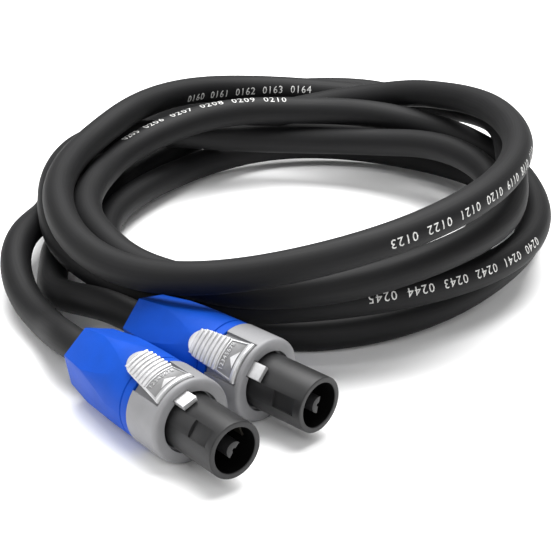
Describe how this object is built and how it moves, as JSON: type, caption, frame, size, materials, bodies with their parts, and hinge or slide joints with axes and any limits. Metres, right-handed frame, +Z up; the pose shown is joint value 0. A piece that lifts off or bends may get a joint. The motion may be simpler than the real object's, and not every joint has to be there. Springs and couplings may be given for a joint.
{
  "type": "loudspeaker cable",
  "caption": "Thick round loudspeaker cable lying in a loose coil, with a two-pole twist-lock plug at each end that has a blue clamp nut and a sprung metal latch.",
  "frame": {"origin": "on the floor, under the middle of the box round the two plugs", "axes": "+X along the first plug, out of its open front end; +Z up"},
  "size_m": [0.2881, 0.2887, 0.0583],
  "materials": {
    "black_jacket": "satin flexible jacket",
    "grey_plastic": "satin moulded plastic",
    "black_plastic": "satin moulded plastic",
    "blue_plastic": "matte moulded plastic",
    "white_metal": "satin die-cast metal",
    "plated_metal": "bright plating",
    "steel": "bright",
    "black_nylon": "matte",
    "red_wire": "satin insulation",
    "black_wire": "satin insulation"
  },
  "bodies": {
    "cable": {"coil": "black_jacket", "lead_1": "black_jacket", "lead_2": "black_jacket", "plug1_housing": "grey_plastic", "plug1_insert": "black_plastic", "plug1_latch_spring": "steel", "plug1_jacket_end": "black_jacket", "plug1_contact_neg": "plated_metal", "plug1_contact_pos": "plated_metal", "plug1_screw_neg": "steel", "plug1_screw_pos": "steel", "plug1_core_neg": "black_wire", "plug1_core_pos": "red_wire", "plug2_housing": "grey_plastic", "plug2_insert": "black_plastic", "plug2_latch_spring": "steel", "plug2_jacket_end": "black_jacket", "plug2_contact_neg": "plated_metal", "plug2_contact_pos": "plated_metal", "plug2_screw_neg": "steel", "plug2_screw_pos": "steel", "plug2_core_neg": "black_wire", "plug2_core_pos": "red_wire"},
    "plug1_slider": {"plug1_latch": "white_metal"},
    "plug1_clamp": {"plug1_chuck": "black_nylon"},
    "plug1_nut": {"plug1_bushing": "blue_plastic"},
    "plug2_slider": {"plug2_latch": "white_metal"},
    "plug2_clamp": {"plug2_chuck": "black_nylon"},
    "plug2_nut": {"plug2_bushing": "blue_plastic"}
  },
  "joints": [
    {"name": "plug1_latch_slide", "type": "slide", "parent": "cable", "child": "plug1_slider", "axis": [-1, 0, 0], "range_m": [0, 0.003], "stiffness_N_per_m": 400, "springref_m": -0.003, "deforming": ["plug1_latch_spring"]},
    {"name": "plug1_clamp_slide", "type": "slide", "parent": "cable", "child": "plug1_clamp", "axis": [-1, 0, 0], "range_m": [0, 0.003]},
    {"name": "plug1_nut_turn", "type": "hinge", "parent": "plug1_clamp", "child": "plug1_nut", "pos_m": [-0.00746, -0.01704, 0.01425], "axis": [-1, 0, 0], "range_deg": [0, 720]},
    {"name": "plug2_latch_slide", "type": "slide", "parent": "cable", "child": "plug2_slider", "axis": [-0.9866, -0.1598, 0.0325], "range_m": [0, 0.003], "stiffness_N_per_m": 400, "springref_m": -0.003, "deforming": ["plug2_latch_spring"]},
    {"name": "plug2_clamp_slide", "type": "slide", "parent": "cable", "child": "plug2_clamp", "axis": [-0.9866, -0.1598, 0.0325], "range_m": [0, 0.003]},
    {"name": "plug2_nut_turn", "type": "hinge", "parent": "plug2_clamp", "child": "plug2_nut", "pos_m": [-0.01357, 0.01295, 0.01512], "axis": [-0.9866, -0.1598, 0.0325], "range_deg": [0, 720]}
  ],
  "couplings": [
    {"joint": "plug1_nut_turn", "follows": "plug1_clamp_slide", "rad_per_m": 4188.7},
    {"joint": "plug2_nut_turn", "follows": "plug2_clamp_slide", "rad_per_m": 4188.7}
  ]
}
